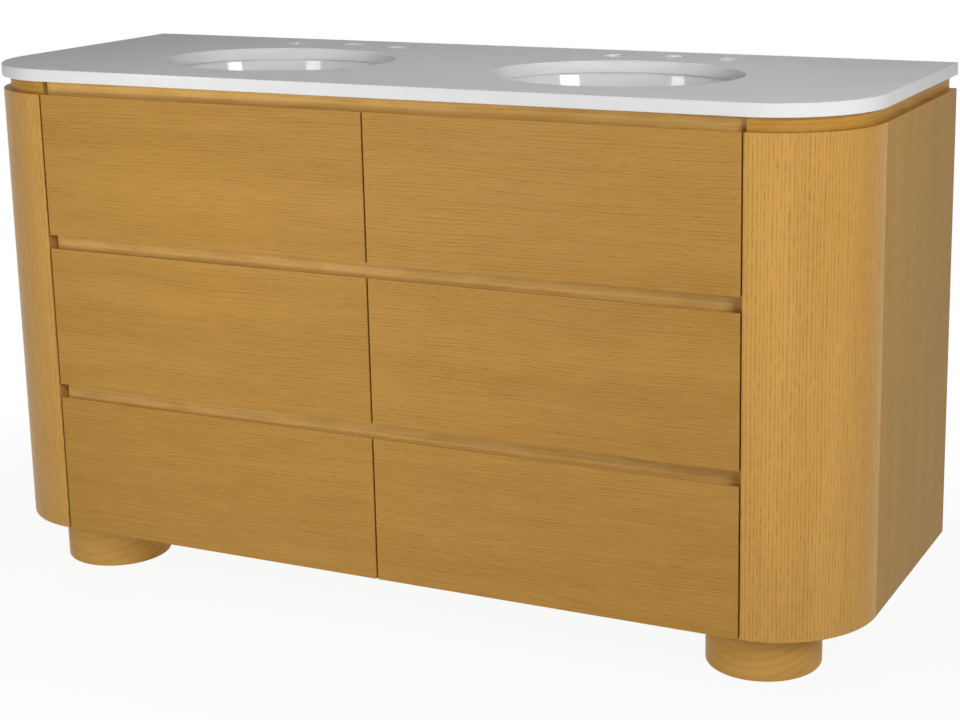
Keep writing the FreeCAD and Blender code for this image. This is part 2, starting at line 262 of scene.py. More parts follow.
# %% [markdown]
# Oak has five layers that can be told apart at arm's length: broad bands of colour, cloudy patches, the
# yearly rings cut as lines along the board, fine fibre, and short open pores that gather in the spring
# wood of each ring. A picture of a board would repeat and could not be resized, so each layer is noise
# that is drawn out along the grain. A slow drift bends all of them together, as the trunk did.

# %% Oak
FLAT_CUT = {
    "ring": 0.0052, "lines": 0.30, "sharp": 1.2, "breaks": 6.0,
    "wander": 10.0, "drift": 0.030, "bands": 0.38, "pores": 0.12,
    "fibre": 0.85, "fibre_width": 0.0024, "mottle": 0.10,
}
RIFT_CUT = {
    "ring": 0.0056, "lines": 0.56, "sharp": 2.3, "breaks": 55.0,
    "wander": 9.0, "drift": 0.004, "bands": 0.30, "pores": 0.50,
    "fibre": 0.45, "fibre_width": 0.0014, "mottle": 0.08,
}
NARROW_CUT = {
    "ring": 0.0070, "lines": 0.40, "sharp": 1.5, "breaks": 6.0,
    "wander": 6.0, "drift": 0.016, "bands": 0.30, "pores": 0.25,
    "fibre": 0.45, "fibre_width": 0.0014, "mottle": 0.55,
}
BLOCK_CUT = {
    "ring": 0.0130, "lines": 0.34, "sharp": 1.3, "breaks": 5.0,
    "wander": 4.0, "drift": 0.010, "bands": 0.30, "pores": 0.20,
    "fibre": 0.45, "fibre_width": 0.0014, "mottle": 0.20,
}
# Noise features per metre along the grain and across it.
DRIFT_SCALE = (2.2, 5.0)
BAND_SCALE = (0.9, 14.0)
MOTTLE_SCALE = (11.0, 36.0)
PORE_SCALE = (70.0, 1500.0)
WANDER_ALONG = 1.5
FIBRE_ALONG = 18.0
# Noise features in the width of one ring.
WANDER_PER_RING = 0.35
BREAKS_PER_RING = 0.9
# Levels of the noise between which a layer fades in.
BAND_EDGE = (0.25, 0.75)
BREAK_EDGE = (0.32, 0.64)
MOTTLE_EDGE = (0.35, 0.65)
PORE_EDGE = (0.58, 0.68)
# What stays of a ring where its line is broken, and of the pores between two rings.
FAINT_RING = 0.15
FAINT_PORES = 0.2
PORE_SHADE = 0.55
RING_ROUGHNESS = 0.10
FIBRE_ROUGHNESS = 0.08
RING_DEPTH = 0.35
GRAIN_DEPTH = 0.00025
OAK_SHINE = 0.08


def oak(name, grain, pale, deep, cut, rough, shine=OAK_SHINE):
    """Lacquered oak. grain gives the metres along and across, cut says how the layers show."""
    tree, shader = start_finish(name)
    along, across = grain(tree)
    ring = cut["ring"]
    bend = drawn_out(tree, along, across, DRIFT_SCALE)
    across = sums(tree, "MULTIPLY_ADD", centred(tree, bend), cut["drift"], across)

    bands = step(tree, drawn_out(tree, along, across, BAND_SCALE, detail=3.0), *BAND_EDGE)
    mottle = step(tree, drawn_out(tree, along, across, MOTTLE_SCALE), *MOTTLE_EDGE)
    wander = drawn_out(tree, along, across, (WANDER_ALONG, WANDER_PER_RING / ring))
    turns = sums(tree, "MULTIPLY", across, 2 * math.pi / ring)
    phase = sums(tree, "MULTIPLY_ADD", wander, cut["wander"], turns)
    wave = sums(tree, "MULTIPLY_ADD", sums(tree, "SINE", phase), 0.5, 0.5)
    break_scale = (cut["breaks"], BREAKS_PER_RING / ring)
    broken = step(tree, drawn_out(tree, along, across, break_scale, detail=3.0, roughness=0.6), *BREAK_EDGE)
    rings = sums(tree, "POWER", wave, cut["sharp"])
    rings = sums(tree, "MULTIPLY", rings, sums(tree, "MULTIPLY_ADD", broken, 1 - FAINT_RING, FAINT_RING))
    fibre_scale = (FIBRE_ALONG, 1 / cut["fibre_width"])
    fibre = drawn_out(tree, along, across, fibre_scale, detail=3.0, roughness=0.6)
    dashes = step(tree, drawn_out(tree, along, across, PORE_SCALE, detail=1.0), *PORE_EDGE)
    pores = sums(tree, "MULTIPLY", dashes, sums(tree, "MULTIPLY_ADD", rings, 1 - FAINT_PORES, FAINT_PORES))

    shade = sums(tree, "MULTIPLY", bands, cut["bands"])
    shade = sums(tree, "MULTIPLY_ADD", rings, cut["lines"], shade)
    shade = sums(tree, "MULTIPLY_ADD", centred(tree, fibre), cut["fibre"], shade)
    shade = sums(tree, "MULTIPLY_ADD", centred(tree, mottle), cut["mottle"], shade)
    colour = tint(tree, shade, pale, deep)
    dark = tuple(PORE_SHADE * part for part in deep)
    colour = tint(tree, sums(tree, "MULTIPLY", pores, cut["pores"]), colour, dark)
    feed(tree, shader.inputs["Base Color"], colour)
    roughness = sums(tree, "MULTIPLY_ADD", fibre, FIBRE_ROUGHNESS, rough - FIBRE_ROUGHNESS / 2)
    roughness = sums(tree, "MULTIPLY_ADD", rings, RING_ROUGHNESS, roughness)
    feed(tree, shader.inputs["Roughness"], roughness)
    shader.inputs["Specular IOR Level"].default_value = shine
    height = sums(tree, "MULTIPLY_ADD", rings, -RING_DEPTH, sums(tree, "MULTIPLY", pores, -1.0))
    relief(tree, shader, height, GRAIN_DEPTH)


def along_x(tree):
    """Grain along the width of the cabinet."""
    x, y, z = where(tree)
    return x, sums(tree, "ADD", y, z)


HEART_BELOW = 0.50
HEART_Y = 0.02


def turned_block(tree):
    """Grain along the width in a block whose heart lies below it, so that the rings show as arcs."""
    x, y, z = where(tree)
    up = sums(tree, "ADD", z, HEART_BELOW)
    back = sums(tree, "SUBTRACT", y, HEART_Y)
    return x, sums(tree, "SQRT", sums(tree, "MULTIPLY_ADD", up, up, sums(tree, "MULTIPLY", back, back)))


# The pale and the deep colour of each oak finish.
FRONT_OAK = ((0.49, 0.264, 0.061), (0.36, 0.181, 0.031))
# The bent panel's oak is paler than the fronts': its own colour raised as a painted highlight for the sheen
# on the bend.
BENT_OAK_AND_PAINTED_HIGHLIGHT = ((0.61, 0.336, 0.083), (0.40, 0.195, 0.032))
# The flat side of that panel takes a darker, greyer copy of it.
SIDE_OAK = ((0.49, 0.281, 0.064), (0.34, 0.174, 0.026))
NECK_OAK = ((0.53, 0.280, 0.055), (0.39, 0.190, 0.028))
# The rails are paler than the fronts: partly a paler oak, partly painted light standing in for the light in
# the finger channels.
RAIL_OAK_AND_PAINTED_LIGHT = ((0.77, 0.472, 0.145), (0.61, 0.355, 0.092))
FOOT_OAK = ((0.60, 0.338, 0.088), (0.49, 0.262, 0.054))
oak("oak_front", laid_grain, *FRONT_OAK, FLAT_CUT, rough=0.45)
oak("oak_upright", laid_grain, *BENT_OAK_AND_PAINTED_HIGHLIGHT, RIFT_CUT, rough=0.36, shine=0.15)
oak("oak_side", laid_grain, *SIDE_OAK, RIFT_CUT, rough=0.42, shine=0.05)
oak("oak_neck", laid_grain, *NECK_OAK, NARROW_CUT, rough=0.42)
oak("oak_rail", along_x, *RAIL_OAK_AND_PAINTED_LIGHT, NARROW_CUT, rough=0.45)
oak("oak_foot", turned_block, *FOOT_OAK, BLOCK_CUT, rough=0.42)
print("oak finishes", sorted(finishes))

# %% [markdown]
# Inside, the cabinet is plain plywood and the drawers are pale birch. Plywood gives itself away on its
# edges, where the layers show as stripes, so the finish looks at which way a face points: a face across
# the thickness is a veneer, and any other is an edge.

# %% Inner woods
PLY_LAYER = 0.0014
PLY_CONTRAST = 0.55
EDGE_FACING = 0.5
STREAK_SCALE = (5.0, 120.0)
WAVE_SCALE = (3.0, 22.0)
WOOD_ROUGHNESS = 0.40
STREAK_ROUGHNESS = 0.15
STREAK_DEPTH = 0.00009


def plain_wood(name, grain, pale, deep, thickness_axis=None):
    """Lacquered plain wood, with the layers of plywood on its edges if a thickness axis is given."""
    tree, shader = start_finish(name)
    along, across = grain(tree)
    streaks = drawn_out(tree, along, across, STREAK_SCALE, detail=3.0, roughness=0.6)
    waves = drawn_out(tree, along, across, WAVE_SCALE)
    shade = sums(tree, "MULTIPLY", sums(tree, "ADD", streaks, waves), 0.5)
    if thickness_axis is not None:
        surface = tree.nodes.new("ShaderNodeNewGeometry")
        facing = tree.nodes.new("ShaderNodeSeparateXYZ")
        tree.links.new(surface.outputs["True Normal"], facing.inputs[0])
        across_board = sums(tree, "ABSOLUTE", facing.outputs[thickness_axis])
        edge = sums(tree, "LESS_THAN", across_board, EDGE_FACING)
        turns = sums(tree, "MULTIPLY", where(tree)[thickness_axis], math.pi / PLY_LAYER)
        layers = sums(tree, "MULTIPLY_ADD", sums(tree, "SINE", turns), 0.5, 0.5)
        shade = sums(tree, "MULTIPLY_ADD", sums(tree, "MULTIPLY", layers, edge), PLY_CONTRAST, shade)
    feed(tree, shader.inputs["Base Color"], tint(tree, shade, pale, deep))
    roughness = sums(tree, "MULTIPLY_ADD", streaks, STREAK_ROUGHNESS, WOOD_ROUGHNESS)
    feed(tree, shader.inputs["Roughness"], roughness)
    relief(tree, shader, sums(tree, "MULTIPLY", streaks, -1.0), STREAK_DEPTH)


def up_the_board(tree):
    """Grain upright, on boards that stand across or along the cabinet."""
    x, y, z = where(tree)
    return z, sums(tree, "ADD", x, y)


def round_the_box(tree):
    """Grain that runs level along each side of a box."""
    x, y, z = where(tree)
    return sums(tree, "ADD", x, y), z


# The pale and the deep colour of each kind of inner wood.
PLYWOOD = ((0.60, 0.44, 0.25), (0.46, 0.30, 0.14))
BIRCH = ((0.70, 0.56, 0.36), (0.58, 0.43, 0.24))
plain_wood("plywood_upright", up_the_board, *PLYWOOD, thickness_axis=0)
plain_wood("plywood_back", round_the_box, *PLYWOOD, thickness_axis=1)
plain_wood("plywood_flat", along_x, *PLYWOOD, thickness_axis=2)
plain_wood("birch_box", round_the_box, *BIRCH)
plain_wood("birch_plate", along_x, *BIRCH, thickness_axis=2)
print("inner woods", len(finishes))

# %% [markdown]
# The top is white quartz: crushed stone in resin. From a step away it is one colour, and close up it has
# pale and grey grains a millimetre across, so two sizes of noise are laid over each other at low
# contrast. The bowls are fired clay under a thick white glaze, smooth but never quite flat. The steel of
# runners and screws shows when a drawer is open, so it has the streaks of rolling, and the rubber under
# the feet has its dull bloom.

# %% Stone, glaze, steel and rubber
DRIFT_SIZE = 40
SPECK_EDGE = (0.35, 0.75)
SPECK_SHARE = 0.6
ROUGHNESS_SPREAD = 0.3


def speckled(name, pale, deep, grain_size, rough, bump, shine):
    """A surface with soft grains, and with drifts that are many grains wide."""
    tree, shader = start_finish(name)
    x, y, z = where(tree)
    fine, wide = [
        place(tree, *[sums(tree, "MULTIPLY", part, 1 / size) for part in (x, y, z)])
        for size in (grain_size, grain_size * DRIFT_SIZE)
    ]
    specks = step(tree, clouds(tree, fine), *SPECK_EDGE)
    drifts = clouds(tree, wide, detail=3.0)
    shade = sums(tree, "MULTIPLY_ADD", specks, SPECK_SHARE, sums(tree, "MULTIPLY", drifts, 1 - SPECK_SHARE))
    feed(tree, shader.inputs["Base Color"], tint(tree, shade, pale, deep))
    spread = rough * ROUGHNESS_SPREAD
    feed(tree, shader.inputs["Roughness"], sums(tree, "MULTIPLY_ADD", drifts, spread, rough - spread / 2))
    shader.inputs["Specular IOR Level"].default_value = shine
    relief(tree, shader, drifts, bump)


STONE = ((0.82, 0.82, 0.82), (0.75, 0.75, 0.75))
GLAZE = ((0.78, 0.78, 0.78), (0.74, 0.74, 0.74))
RUBBER = ((0.045, 0.042, 0.040), (0.025, 0.024, 0.023))
speckled("quartz", *STONE, grain_size=0.0012, rough=0.55, bump=0.00002, shine=0.03)
speckled("glaze", *GLAZE, grain_size=0.0040, rough=0.06, bump=0.00010, shine=0.5)
speckled("rubber", *RUBBER, grain_size=0.0008, rough=0.70, bump=0.00010, shine=0.2)
STEEL_SCALE = (900.0, 14.0, 900.0)
STEEL_ROUGHNESS = 0.34
STEEL_STREAKS = 0.20
STEEL_DEPTH = 0.00003


def rolled_steel(name, pale, deep):
    """Steel with fine streaks along the runners."""
    tree, shader = start_finish(name)
    scaled = [sums(tree, "MULTIPLY", part, scale) for part, scale in zip(where(tree), STEEL_SCALE)]
    point = place(tree, *scaled)
    streaks = clouds(tree, point, detail=3.0, roughness=0.6)
    feed(tree, shader.inputs["Base Color"], tint(tree, streaks, pale, deep))
    roughness = sums(tree, "MULTIPLY_ADD", streaks, STEEL_STREAKS, STEEL_ROUGHNESS)
    feed(tree, shader.inputs["Roughness"], roughness)
    shader.inputs["Metallic"].default_value = 1.0
    relief(tree, shader, streaks, STEEL_DEPTH)


rolled_steel("zinc_steel", (0.48, 0.49, 0.51), (0.37, 0.38, 0.40))
rolled_steel("black_steel", (0.16, 0.16, 0.17), (0.10, 0.10, 0.11))
print("all finishes", len(finishes))

# %% [markdown]
# A new piece needs the same few steps each time: a mesh from points and faces, a finish, the body that
# carries it, and the solid that it stands for. Grain on veneer is laid as a map in real metres: along
# first, across second. Edges are eased by a bevel that works on sharp corners only, which is how a maker
# breaks an edge with a block of fine paper.

# %% Piece helpers
ROUND_ANGLE = math.radians(32)


def make_piece(name, points, faces, finish, slot, body, *stands_for):
    """A new piece in the row's frame that rides on a body and stands for solids."""
    mesh = bpy.data.meshes.new(name)
    mesh.from_pydata(points, [], faces)
    skin = bmesh.new()
    skin.from_mesh(mesh)
    bmesh.ops.recalc_face_normals(skin, faces=skin.faces)
    skin.to_mesh(mesh)
    skin.free()
    return dress(name, mesh, finish, slot, body, *stands_for)


def dress(name, mesh, finish, slot, body, *stands_for):
    """Puts a mesh in the scene with its finish, body and solid."""
    mesh.materials.append(finishes[finish])
    mesh.shade_smooth()
    mesh.set_sharp_from_angle(angle=ROUND_ANGLE)
    piece = bpy.data.objects.new(name, mesh)
    bpy.context.scene.collection.objects.link(piece)
    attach(piece, body)
    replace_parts(piece, *stands_for)
    return piece


def lay_grain(piece, along, across, start=(0.0, 0.0)):
    """Writes metres along and across the grain for each corner of each face."""
    mesh = piece.data
    layer = mesh.uv_layers.new(name="grain")
    for corner in mesh.loops:
        point = mesh.vertices[corner.vertex_index].co
        layer.data[corner.index].uv = (along(point) + start[0], across(point) + start[1])


def ease_edges(piece, width, segments=3):
    """Breaks the sharp edges of a piece."""
    bevel = piece.modifiers.new("eased_edges", "BEVEL")
    bevel.width = width
    bevel.segments = segments
    bevel.limit_method = "ANGLE"
    bevel.angle_limit = ROUND_ANGLE
    bevel.harden_normals = True


def ringed(centre, rings, sides, closed):
    """Points and faces of a form made of level ovals, given as half length, half width and height."""
    points = []
    for half_x, half_y, height in rings:
        for side in range(sides):
            turn = 2 * math.pi * side / sides
            points.append((centre.x + half_x * math.cos(turn), centre.y + half_y * math.sin(turn), height))
    faces = []
    count = len(rings)
    for ring in range(count if closed else count - 1):
        low, high = ring * sides, (ring + 1) % count * sides
        for side in range(sides):
            after = (side + 1) % sides
            faces.append((low + side, low + after, high + after, high + side))
    if not closed:
        faces.append(tuple(reversed(range(sides))))
        faces.append(tuple(range((count - 1) * sides, count * sides)))
    return points, faces


print("piece helpers ready")

# %% [markdown]
# Each drawer front is a veneered slab. Its top edge falls away behind a thin lip, so that fingers can
# hook over it from the channel above. A cube with a bevel would lose that lip, so the side view is drawn
# once and pulled along the width. Every front starts at another place in the veneer, as fronts cut from
# different leaves do.

# %% Drawer fronts
LIP_THICKNESS = 0.003
LIP_DROP = 0.015
FRONT_EASE = 0.001
VENEER_STEP = (1.37, 0.61)
rows = ("upper", "middle", "lower")
sides = ("left", "right")
drawer_names = [row + "_" + side for row in rows for side in sides]


def drawer_front(index, name):
    """One drawer front, from the box of its solid."""
    low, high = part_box(name + "_drawer_front")
    outline = [
        (low.y, low.z),
        (low.y, high.z),
        (low.y + LIP_THICKNESS, high.z),
        (high.y, high.z - LIP_DROP),
        (high.y, low.z),
    ]
    count = len(outline)
    points = [(x, y, z) for x in (low.x, high.x) for y, z in outline]
    faces = [tuple(range(count)), tuple(reversed(range(count, 2 * count)))]
    for corner in range(count):
        after = (corner + 1) % count
        faces.append((after, corner, corner + count, after + count))
    piece = make_piece(
        name + "_front", points, faces, "oak_front", "oak_front", name + "_drawer", name + "_drawer_front"
    )
    start = (VENEER_STEP[0] * index, VENEER_STEP[1] * index)
    lay_grain(piece, lambda p: p.x, lambda p: p.z + p.y, start)
    ease_edges(piece, FRONT_EASE)
    return piece


fronts = [drawer_front(index, name) for index, name in enumerate(drawer_names)]
print(len(fronts), "drawer fronts")

# %% [markdown]
# The end panels are the piece that takes the most skill: one bent panel turns from the flat side into a
# quarter round and stops beside the drawers. Under the top it steps back to a neck. A round-edged box
# can't do this, so the upright section of the panel, with its step, is carried along the plan line:
# straight from the back, then round the corner. The veneer stands upright and is measured round the bend,
# so its stripes keep their width.

# %% End panels
PANEL_THICKNESS = 0.020
NECK_SETBACK = 0.012
PANEL_EASE = 0.0008
BEND_STEPS = 40
PANEL_VENEER_STEP = (2.0, 3.0)
TOUCHING = 0.00001
FACING_SIDEWAYS = 0.9999
NECK_FINISH = 1
SIDE_FINISH = 2
panel_gap = panel_low.x - front_high.x


def panel_section():
    """Inset from the outer face and height of each corner of the upright section."""
    shoulder = front_high.z
    return [
        (0.0, cabinet_low),
        (0.0, shoulder),
        (NECK_SETBACK, shoulder),
        (NECK_SETBACK, panel_high.z),
        (PANEL_THICKNESS, panel_high.z),
        (PANEL_THICKNESS, cabinet_low),
    ]


def end_panel(side, sign):
    """One bent panel, with its neck in level-grained oak."""
    section = panel_section()
    count = len(section)
    centre_y = panel_low.y + corner_radius
    points, bent_lengths = [], []
    for station in range(-1, BEND_STEPS + 1):
        for inset, height in section:
            radius = corner_radius - inset
            turn = max(station, 0) / BEND_STEPS * math.acos(panel_gap / radius)
            x = front_high.x + radius * math.cos(turn)
            y = panel_high.y if station < 0 else centre_y - radius * math.sin(turn)
            points.append((sign * x, y, height))
            bent_lengths.append(corner_radius * turn if station >= 0 else centre_y - panel_high.y)
    faces = []
    for station in range(BEND_STEPS + 1):
        for corner in range(count):
            after = (corner + 1) % count
            a, b = station * count + corner, station * count + after
            faces.append((a, b, b + count, a + count))
    faces.append(tuple(reversed(range(count))))
    faces.append(tuple(range((BEND_STEPS + 1) * count, (BEND_STEPS + 2) * count)))
    # The bend carries the paler oak with its painted highlight.
    piece = make_piece(
        side + "_bent_panel", points, faces, "oak_upright", "oak_upright", "cabinet", side + "_end_panel"
    )
    return piece, bent_lengths


def lay_bent_grain(piece, bent_lengths, sign):
    """Upright grain on the panel, and level grain on the faces of its neck."""
    mesh = piece.data
    ahead, aside = (sign * part for part in PANEL_VENEER_STEP)
    mesh.materials.append(finishes["oak_neck"])
    mesh.materials.append(finishes["oak_side"])
    layer = mesh.uv_layers.new(name="grain")
    for face in mesh.polygons:
        heights = [mesh.vertices[v].co.z for v in face.vertices]
        neck = min(heights) >= front_high.z - TOUCHING and len(face.vertices) == 4
        # Faces that look sideways take the darker, greyer copy of the oak.
        flat = abs(face.normal.x) > FACING_SIDEWAYS
        face.material_index = NECK_FINISH if neck else SIDE_FINISH if flat else 0
        for corner in face.loop_indices:
            vertex = mesh.loops[corner].vertex_index
            bent, height = bent_lengths[vertex], mesh.vertices[vertex].co.z
            layer.data[corner].uv = (bent, height) if neck else (height + ahead, bent + aside)


for side, sign in zip(sides, (-1, 1)):
    panel, lengths = end_panel(side, sign)
    lay_bent_grain(panel, lengths, sign)
    ease_edges(panel, PANEL_EASE, 2)
    print(panel.name, len(panel.data.polygons), "faces")

# %% [markdown]
# The stone top is drawn as a mason draws a template: one outline with rounded front corners, two ovals
# and six tap holes inside it. A flat curve in Blender does the same: loops inside a loop become holes, a
# thickness makes it a slab, and a small round on the edges takes the place of polishing the arris.
# Cutting holes out of a block would leave ragged faces, so the curve is the cleaner way.

# %% Stone top
STONE_EASE = 0.0015
STONE_EASE_STEPS = 3
CURVE_STEPS = 24
SAME_POINT = 0.000002
FACING_UP = 0.999
STRAIGHT = (0, 0)
ROUND_HANDLE = 4 / 3 * math.tan(math.pi / 8)
FLANGE = 0.028
BOWL_REVEAL = 0.003
TAP_HOLE_RADIUS = 0.0175
TAP_SPREAD = 0.2032
TAP_BACK_INSET = 0.080
SPOUT_SETBACK = 0.020
bowl_middle = (bowl_low + bowl_high) / 2
bowl_half = (bowl_high - bowl_low) / 2
rim_x, rim_y = bowl_half.x - FLANGE, bowl_half.y - FLANGE
tap_y = top_high.y - TAP_BACK_INSET


def add_loop(curve, knots):
    """A closed loop of knots, each with its place and the two arms that bend the line."""
    loop = curve.splines.new("BEZIER")
    loop.bezier_points.add(len(knots) - 1)
    loop.use_cyclic_u = True
    for knot, (at, back, ahead) in zip(loop.bezier_points, knots):
        knot.co = (*at, 0)
        knot.handle_left_type = "VECTOR" if back == STRAIGHT else "FREE"
        knot.handle_right_type = "VECTOR" if ahead == STRAIGHT else "FREE"
        knot.handle_left = (at[0] + back[0], at[1] + back[1], 0)
        knot.handle_right = (at[0] + ahead[0], at[1] + ahead[1], 0)


def add_oval(curve, x, y, half_x, half_y):
    """An oval hole."""
    arm_x, arm_y = half_x * ROUND_HANDLE, half_y * ROUND_HANDLE
    add_loop(curve, [
        ((x + half_x, y), (0, arm_y), (0, -arm_y)),
        ((x, y - half_y), (arm_x, 0), (-arm_x, 0)),
        ((x - half_x, y), (0, -arm_y), (0, arm_y)),
        ((x, y + half_y), (-arm_x, 0), (arm_x, 0)),
    ])


template = bpy.data.curves.new("stone_template", "CURVE")
template.dimensions = "2D"
template.fill_mode = "BOTH"
template.resolution_u = CURVE_STEPS
radius = corner_radius + overhang
arm = radius * ROUND_HANDLE
left, right, front, back = top_low.x, top_high.x, top_low.y, top_high.y
add_loop(template, [
    ((left, back), STRAIGHT, STRAIGHT),
    ((left, front + radius), STRAIGHT, (0, -arm)),
    ((left + radius, front), (-arm, 0), STRAIGHT),
    ((right - radius, front), STRAIGHT, (arm, 0)),
    ((right, front + radius), (0, -arm), STRAIGHT),
    ((right, back), STRAIGHT, STRAIGHT),
])
for sign in (-1, 1):
    middle = sign * bowl_middle.x
    add_oval(template, middle, bowl_middle.y, rim_x - BOWL_REVEAL, rim_y - BOWL_REVEAL)
    for offset, setback in ((-TAP_SPREAD / 2, 0), (0, SPOUT_SETBACK), (TAP_SPREAD / 2, 0)):
        add_oval(template, middle + offset, tap_y + setback, TAP_HOLE_RADIUS, TAP_HOLE_RADIUS)
thickness = top_high.z - top_low.z
template.extrude = thickness / 2 - STONE_EASE
template.bevel_depth = STONE_EASE
template.bevel_resolution = STONE_EASE_STEPS
template.offset = -STONE_EASE
drawing = bpy.data.objects.new("stone_template", template)
bpy.context.scene.collection.objects.link(drawing)
bpy.context.view_layer.update()
drawn = drawing.evaluated_get(bpy.context.evaluated_depsgraph_get())
slab = bpy.data.meshes.new_from_object(drawn)
bpy.data.objects.remove(drawing)
slab.name = "stone_top"
slab.transform(Matrix.Translation((0, 0, (top_low.z + top_high.z) / 2)))
slab.materials.clear()
skin = bmesh.new()
skin.from_mesh(slab)
bmesh.ops.remove_doubles(skin, verts=skin.verts, dist=SAME_POINT)
skin.to_mesh(slab)
skin.free()
stone_top = dress("stone_top", slab, "quartz", "quartz", "cabinet", "countertop")
for face in slab.polygons:
    face.use_smooth = abs(face.normal.z) < FACING_UP
print("stone top", len(slab.polygons), "faces", [round(v, 4) for v in stone_top.dimensions])

# %% [markdown]
# Each bowl is a shell of fired clay: a flat flange that is held up under the stone, a leaning wall, a
# wide round turn, a floor that falls gently to the waste hole, and the same again outside, one wall
# thickness away. It has no flat sides to start from, so it is made of level ovals, one below the other.
# The ovals near the waste become true circles, because the waste fitting is round.

# %% Bowls
BOWL_WALL = 0.010
FLANGE_THICKNESS = 0.012
WALL_LEAN = math.atan2(0.026, 0.135)
TURN_RADIUS = 0.082
FLOOR_FALL = 0.007
HALFWAY_FALL = 0.45
SEAT_RADIUS = 0.050
WASTE_RADIUS = 0.0225
BOSS_RADIUS = 0.034
BOSS_HEIGHT = 0.006
RIM_ROUND = 0.003
BOWL_SIDES = 144
TURN_STEPS = 16
ROUND_STEPS = 4
bowl_depth = bowl_half.z * 2 - BOSS_HEIGHT - BOWL_WALL


def bowl_line(half_length, turn_radius, depth):
    """Half lengths and depths down the wall, round the turn and over the floor to the seat of the waste."""
    turn_depth = depth - FLOOR_FALL - turn_radius
    wall_depth = turn_depth + turn_radius * math.sin(WALL_LEAN)
    turn_x = half_length - wall_depth * math.tan(WALL_LEAN) - turn_radius * math.cos(WALL_LEAN)
    line = [(half_length - d * math.tan(WALL_LEAN), d) for d in (0.0, wall_depth / 2)]
    for index in range(TURN_STEPS + 1):
        turn = WALL_LEAN + (math.pi / 2 - WALL_LEAN) * index / TURN_STEPS
        line.append((turn_x + turn_radius * math.cos(turn), turn_depth + turn_radius * math.sin(turn)))
    halfway = (line[-1][0] + SEAT_RADIUS) / 2
    return line + [(halfway, depth - FLOOR_FALL * HALFWAY_FALL), (SEAT_RADIUS, depth)]


def bowl_rings(top):
    """The ovals of a bowl: down the inside, through the waste, up the outside and back over the flange."""
    roundness = rim_y / rim_x
    inside = bowl_line(rim_x, TURN_RADIUS, bowl_depth)
    rings = []
    for index in range(1, ROUND_STEPS + 1):
        turn = math.pi / 2 * index / ROUND_STEPS
        out, down = RIM_ROUND * (1 - math.sin(turn)), RIM_ROUND * (1 - math.cos(turn))
        rings.append((rim_x + out, rim_y + out, top - down))
    rings += [(half, half * roundness, top - depth) for half, depth in inside[1:]]
    floor = top - bowl_depth
    for index in range(ROUND_STEPS + 1):
        turn = math.pi / 2 * index / ROUND_STEPS
        half = WASTE_RADIUS + RIM_ROUND * (1 - math.sin(turn))
        rings.append((half, half, floor - RIM_ROUND * (1 - math.cos(turn))))
    foot = floor - BOWL_WALL - BOSS_HEIGHT
    rings += [(WASTE_RADIUS, WASTE_RADIUS, foot), (BOSS_RADIUS, BOSS_RADIUS, foot)]
    rings.append((BOSS_RADIUS, BOSS_RADIUS, foot + BOSS_HEIGHT))
    outside = bowl_line(rim_x + BOWL_WALL, TURN_RADIUS + BOWL_WALL, bowl_depth + BOWL_WALL)
    outer_roundness = (rim_y + BOWL_WALL) / (rim_x + BOWL_WALL)
    low = top - FLANGE_THICKNESS
    below = [(half, depth) for half, depth in reversed(outside) if top - depth < low]
    rings += [(half, half * outer_roundness, top - depth) for half, depth in below]
    wall_top = rim_x + BOWL_WALL - FLANGE_THICKNESS * math.tan(WALL_LEAN)
    rings.append((wall_top, wall_top * outer_roundness, low))
    rings.append((bowl_half.x, bowl_half.y, low))
    rings.append((bowl_half.x, bowl_half.y, top))
    return rings


for side, sign in zip(sides, (-1, 1)):
    middle = Vector((sign * bowl_middle.x, bowl_middle.y, 0))
    points, faces = ringed(middle, bowl_rings(bowl_high.z), BOWL_SIDES, closed=True)
    bowl = make_piece(side + "_bowl", points, faces, "glaze", "glaze", "cabinet", side + "_sink")
    print(bowl.name, len(bowl.data.polygons), "faces", [round(v, 4) for v in bowl.dimensions])

# %% [markdown]
# The feet are short drums turned from solid oak, with a tenon that is glued into the cabinet floor. A
# turner rounds the lower edge so that it won't splinter. They are made of level circles down a half
# section, with the lower edge as a true quarter round.

# %% Feet
FOOT_ROUND = 0.005
TENON_RADIUS = 0.020
FOOT_SIDES = 96


def foot_rings(low, high):
    """Circles from the recessed underside, round the lower edge and up to the top of the tenon."""
    radius = (high.x - low.x) / 2
    rings = []
    for index in range(ROUND_STEPS + 1):
        turn = math.pi / 2 * index / ROUND_STEPS
        half = radius - FOOT_ROUND * (1 - math.sin(turn))
        rings.append((half, half, low.z + FOOT_ROUND * (1 - math.cos(turn))))
    rings.append((radius, radius, cabinet_low))
    rings.append((TENON_RADIUS, TENON_RADIUS, cabinet_low))
    rings.append((TENON_RADIUS, TENON_RADIUS, high.z))
    return rings


for row in ("front", "rear"):
    for side in sides:
        node = row + "_" + side + "_foot"
        low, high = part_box(node)
        points, faces = ringed((low + high) / 2, foot_rings(low, high), FOOT_SIDES, closed=False)
        name = row + "_" + side + "_drum"
        foot = make_piece(name, points, faces, "oak_foot", "oak_foot", "cabinet", node)
        print(foot.name, [round(v, 3) for v in foot.dimensions])

# %% [markdown]
# A drawer box is a ring of thin boards that are butted and glued: two sides, an inner front and a back. A
# groove near the lower edge holds the plate. The boards touch each other, and a bevel across touching
# boards tears them, so each one is drawn as a closed form of its own and its edges are eased before the
# glue-up. In the upper boxes five boards take the place of the back and go round the waste pipe of the
# bowl.

# %% Drawer boxes
BOX_WALL = 0.013
GROOVE_DEPTH = 0.006
NOTCH_WIDTH = 0.150
NOTCH_AHEAD = 0.080
BOARD_EASE = 0.0006


